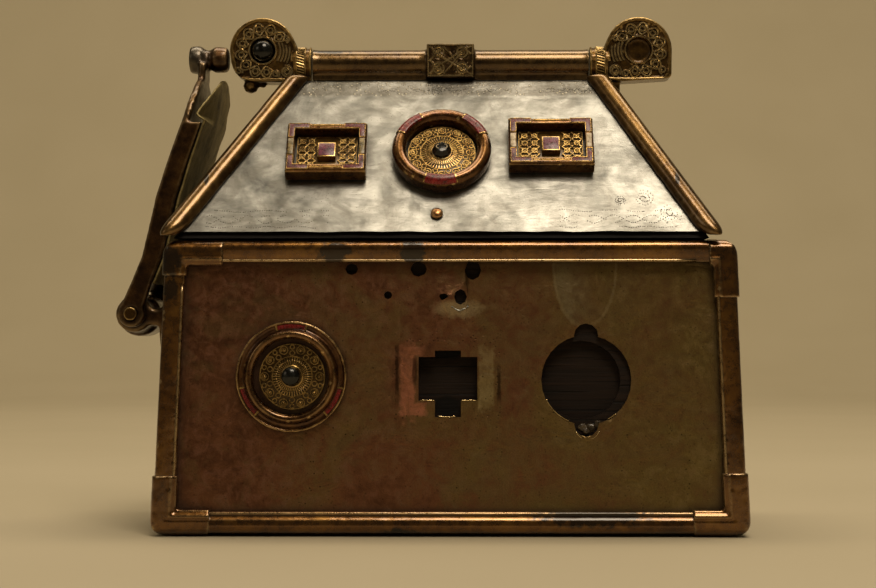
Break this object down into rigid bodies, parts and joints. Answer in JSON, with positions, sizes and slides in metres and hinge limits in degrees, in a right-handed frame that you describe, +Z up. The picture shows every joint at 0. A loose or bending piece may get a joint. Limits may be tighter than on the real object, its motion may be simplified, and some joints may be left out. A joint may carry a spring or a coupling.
{
  "type": "house-shaped reliquary casket",
  "caption": "Small house-shaped casket: hollow wooden box with a lift-off hipped lid, sheet metal faces, edge bindings, ornamental mounts, a ridge bar with finials and a hinged carrying arm.",
  "frame": {"origin": "on the underside of the base plate, at its centre", "axes": "+Z up, +X to the right seen from the front, +Y towards the back"},
  "size_m": [0.1174, 0.053, 0.0974],
  "materials": {
    "wood": "old dark oiled wood with fine grain",
    "bronze": "worn cast bronze with brown patina and bright edges",
    "dark_bronze": "dark brown bronze with grey corroded patches",
    "silver_sheet": "tarnished silver sheet with stippled lines",
    "box_sheet": "purple-brown silvered bronze sheet, scratched and mottled",
    "gilt": "gilt bronze with dirt in the hollows",
    "enamel": "dull glossy red enamel, chipped",
    "glass_stud": "blue-black glass, nearly opaque",
    "arm_sheet": "thin olive-green corroded sheet"
  },
  "bodies": {
    "casket": {"arm_bracket": "dark_bronze", "arm_pin": "bronze", "back_plate": "box_sheet", "base_plate": "box_sheet", "box_core": "wood", "box_ring": "bronze", "box_ring_panel": "gilt", "box_ring_stud": "glass_stud", "cap_back_left_bottom": "bronze", "cap_back_left_top": "bronze", "cap_back_right_bottom": "bronze", "cap_back_right_top": "bronze", "cap_front_left_bottom": "bronze", "cap_front_left_top": "bronze", "cap_front_right_bottom": "bronze", "cap_front_right_top": "bronze", "finial_left": "bronze", "finial_right": "bronze", "finial_stud": "glass_stud", "front_plate": "box_sheet", "hip_strip_back_left": "bronze", "hip_strip_back_right": "bronze", "hip_strip_front_left": "bronze", "hip_strip_front_right": "bronze", "left_end_plate": "box_sheet", "lid_core": "wood", "ridge_bar": "bronze", "right_end_plate": "box_sheet", "roof_back_plate": "silver_sheet", "roof_front_plate": "silver_sheet", "roof_left_frame": "bronze", "roof_left_panel": "gilt", "roof_left_plate": "silver_sheet", "roof_nail": "bronze", "roof_right_frame": "bronze", "roof_right_panel": "gilt", "roof_right_plate": "silver_sheet", "roof_ring": "bronze", "roof_ring_panel": "gilt", "roof_ring_stud": "glass_stud", "strip_back_bottom": "bronze", "strip_back_left_upright": "bronze", "strip_back_right_upright": "bronze", "strip_back_top": "bronze", "strip_front_bottom": "bronze", "strip_front_left_upright": "bronze", "strip_front_right_upright": "bronze", "strip_front_top": "bronze", "strip_left_bottom": "bronze", "strip_left_top": "bronze", "strip_right_bottom": "bronze", "strip_right_top": "bronze"},
    "carrying_arm": {"arm_body": "dark_bronze", "arm_backing": "arm_sheet"}
  },
  "joints": [
    {"name": "arm_hinge", "type": "hinge", "parent": "casket", "child": "carrying_arm", "pos_m": [-0.0594, 0, 0.0401], "axis": [0, -1, 0], "range_deg": [0, 145]}
  ]
}
